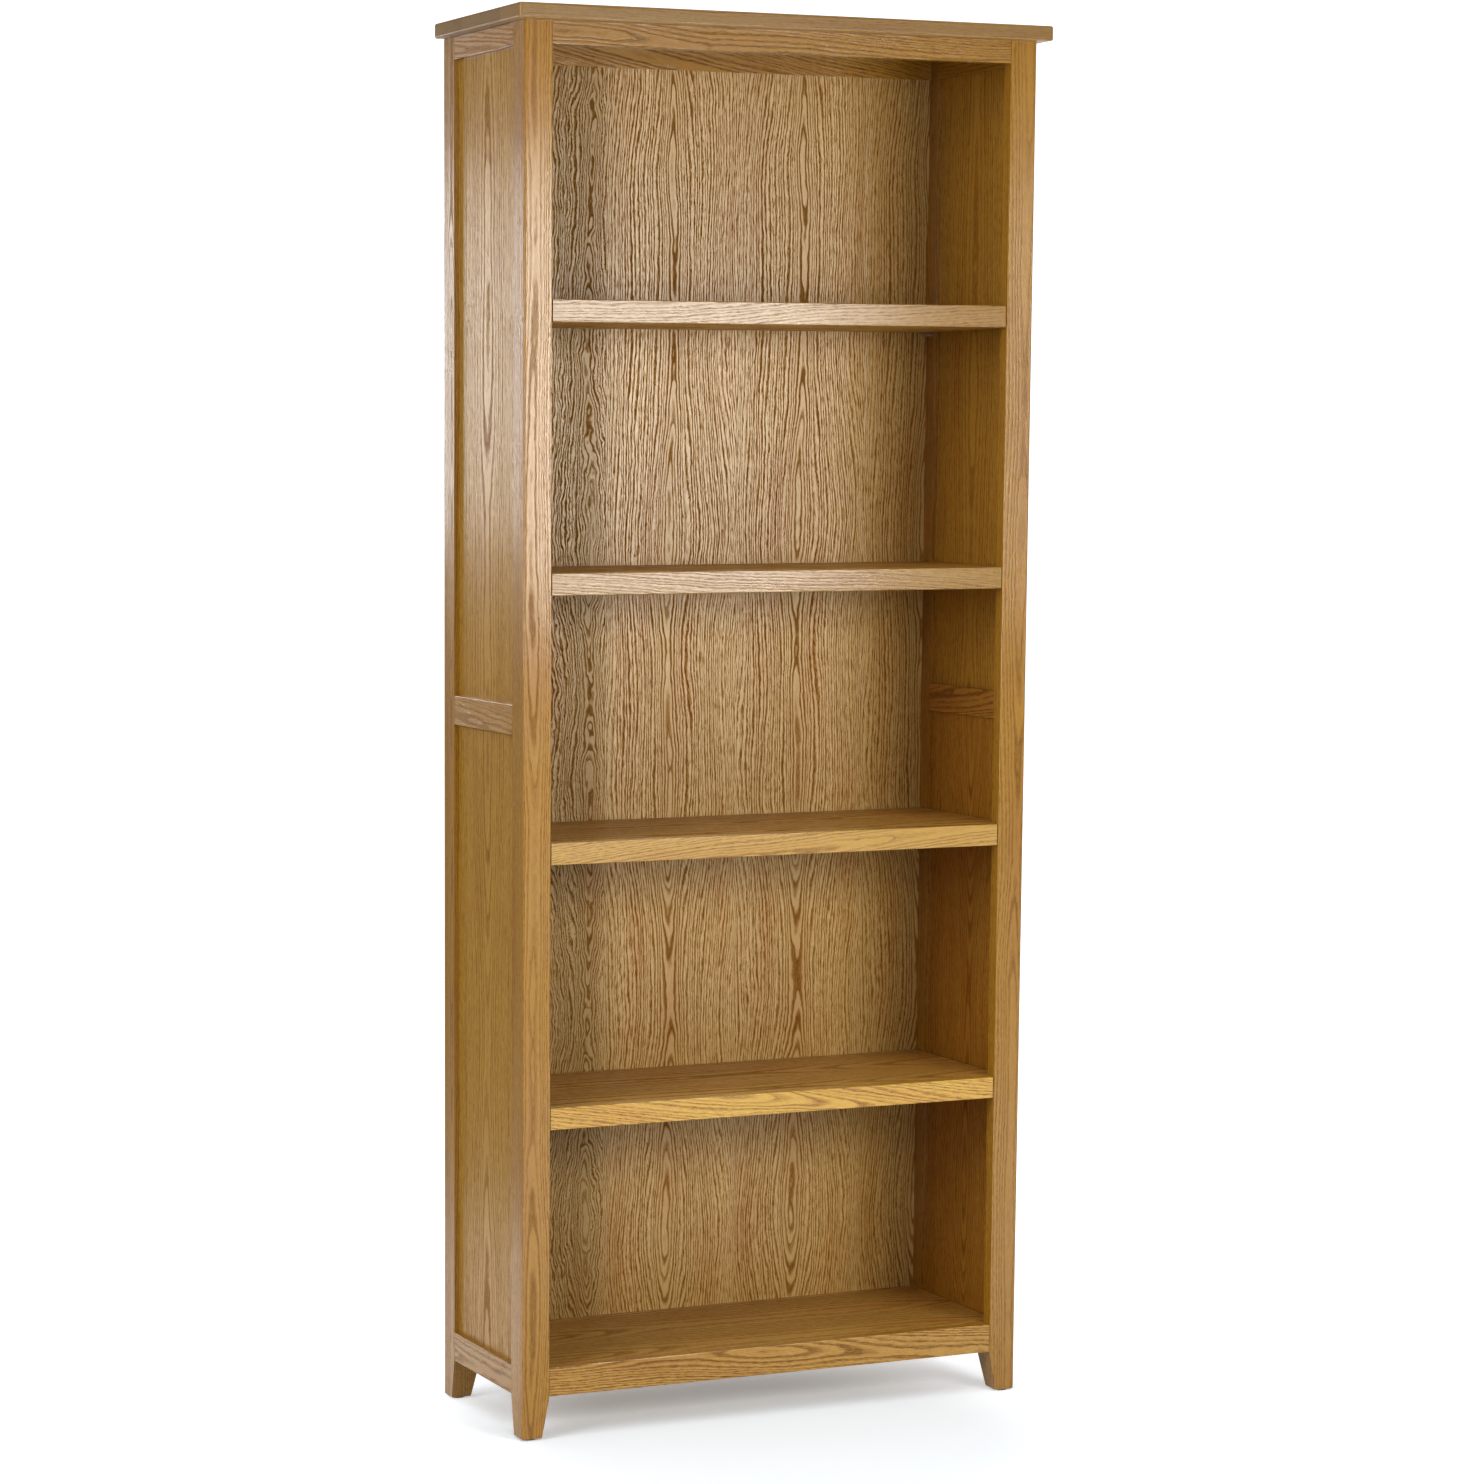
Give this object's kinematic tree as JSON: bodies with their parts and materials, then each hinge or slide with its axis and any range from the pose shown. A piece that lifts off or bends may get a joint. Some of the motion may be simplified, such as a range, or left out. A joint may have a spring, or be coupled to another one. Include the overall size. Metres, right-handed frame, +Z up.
{
  "type": "bookcase with adjustable shelves",
  "caption": "Tall free-standing oak bookcase with tapered legs, frame-and-panel sides, an overhanging top and shelves that lift off pins.",
  "frame": {"origin": "on the floor, under the middle of the whole piece", "axes": "+Z up, +X to the right of someone who faces the open front, +Y from the front to the back"},
  "size_m": [0.79, 0.299, 1.9],
  "materials": {
    "solid_oak": "satin lacquered solid oak",
    "oak_veneer": "satin lacquered oak veneer",
    "zinc_steel": "bright zinc plate",
    "nickel_pin": "nickel plate",
    "glide_plastic": "dark moulded plastic"
  },
  "bodies": {
    "carcass": {"top_board": "solid_oak", "top_board_screws": "zinc_steel", "front_post_left": "solid_oak", "front_post_right": "solid_oak", "rear_post_left": "solid_oak", "rear_post_right": "solid_oak", "side_top_rail_left": "solid_oak", "side_top_rail_right": "solid_oak", "side_mid_rail_left": "solid_oak", "side_mid_rail_right": "solid_oak", "side_bottom_rail_left": "solid_oak", "side_bottom_rail_right": "solid_oak", "side_upper_panel_left": "oak_veneer", "side_upper_panel_right": "oak_veneer", "side_lower_panel_left": "oak_veneer", "side_lower_panel_right": "oak_veneer", "front_top_rail": "solid_oak", "front_bottom_rail": "solid_oak", "back_top_rail": "solid_oak", "back_bottom_rail": "solid_oak", "back_panel": "oak_veneer", "bottom_board": "oak_veneer", "bottom_batten_left": "solid_oak", "bottom_batten_right": "solid_oak", "bottom_batten_screws": "zinc_steel", "bottom_board_screws": "zinc_steel", "foot_glides": "glide_plastic"},
    "shelf_1": {"shelf_board_1": "oak_veneer", "shelf_lipping_1": "solid_oak"},
    "shelf_2": {"shelf_board_2": "oak_veneer", "shelf_lipping_2": "solid_oak"},
    "shelf_3": {"shelf_board_3": "oak_veneer", "shelf_lipping_3": "solid_oak"},
    "shelf_4": {"shelf_board_4": "oak_veneer", "shelf_lipping_4": "solid_oak"},
    "pins_1_left": {"shelf_pins_1_left": "nickel_pin"},
    "pins_1_right": {"shelf_pins_1_right": "nickel_pin"},
    "pins_2_left": {"shelf_pins_2_left": "nickel_pin"},
    "pins_2_right": {"shelf_pins_2_right": "nickel_pin"},
    "pins_3_left": {"shelf_pins_3_left": "nickel_pin"},
    "pins_3_right": {"shelf_pins_3_right": "nickel_pin"},
    "pins_4_left": {"shelf_pins_4_left": "nickel_pin"},
    "pins_4_right": {"shelf_pins_4_right": "nickel_pin"}
  },
  "joints": [
    {"name": "shelf_1_lift", "type": "slide", "parent": "carcass", "child": "shelf_1", "axis": [0, 0, 1], "range_m": [0, 0.15]},
    {"name": "shelf_2_lift", "type": "slide", "parent": "carcass", "child": "shelf_2", "axis": [0, 0, 1], "range_m": [0, 0.15]},
    {"name": "shelf_3_lift", "type": "slide", "parent": "carcass", "child": "shelf_3", "axis": [0, 0, 1], "range_m": [0, 0.15]},
    {"name": "shelf_4_lift", "type": "slide", "parent": "carcass", "child": "shelf_4", "axis": [0, 0, 1], "range_m": [0, 0.15]},
    {"name": "pins_1_left_pull", "type": "slide", "parent": "carcass", "child": "pins_1_left", "axis": [1, 0, 0], "range_m": [0, 0.01]},
    {"name": "pins_1_right_pull", "type": "slide", "parent": "carcass", "child": "pins_1_right", "axis": [-1, 0, 0], "range_m": [0, 0.01]},
    {"name": "pins_2_left_pull", "type": "slide", "parent": "carcass", "child": "pins_2_left", "axis": [1, 0, 0], "range_m": [0, 0.01]},
    {"name": "pins_2_right_pull", "type": "slide", "parent": "carcass", "child": "pins_2_right", "axis": [-1, 0, 0], "range_m": [0, 0.01]},
    {"name": "pins_3_left_pull", "type": "slide", "parent": "carcass", "child": "pins_3_left", "axis": [1, 0, 0], "range_m": [0, 0.01]},
    {"name": "pins_3_right_pull", "type": "slide", "parent": "carcass", "child": "pins_3_right", "axis": [-1, 0, 0], "range_m": [0, 0.01]},
    {"name": "pins_4_left_pull", "type": "slide", "parent": "carcass", "child": "pins_4_left", "axis": [1, 0, 0], "range_m": [0, 0.01]},
    {"name": "pins_4_right_pull", "type": "slide", "parent": "carcass", "child": "pins_4_right", "axis": [-1, 0, 0], "range_m": [0, 0.01]}
  ]
}
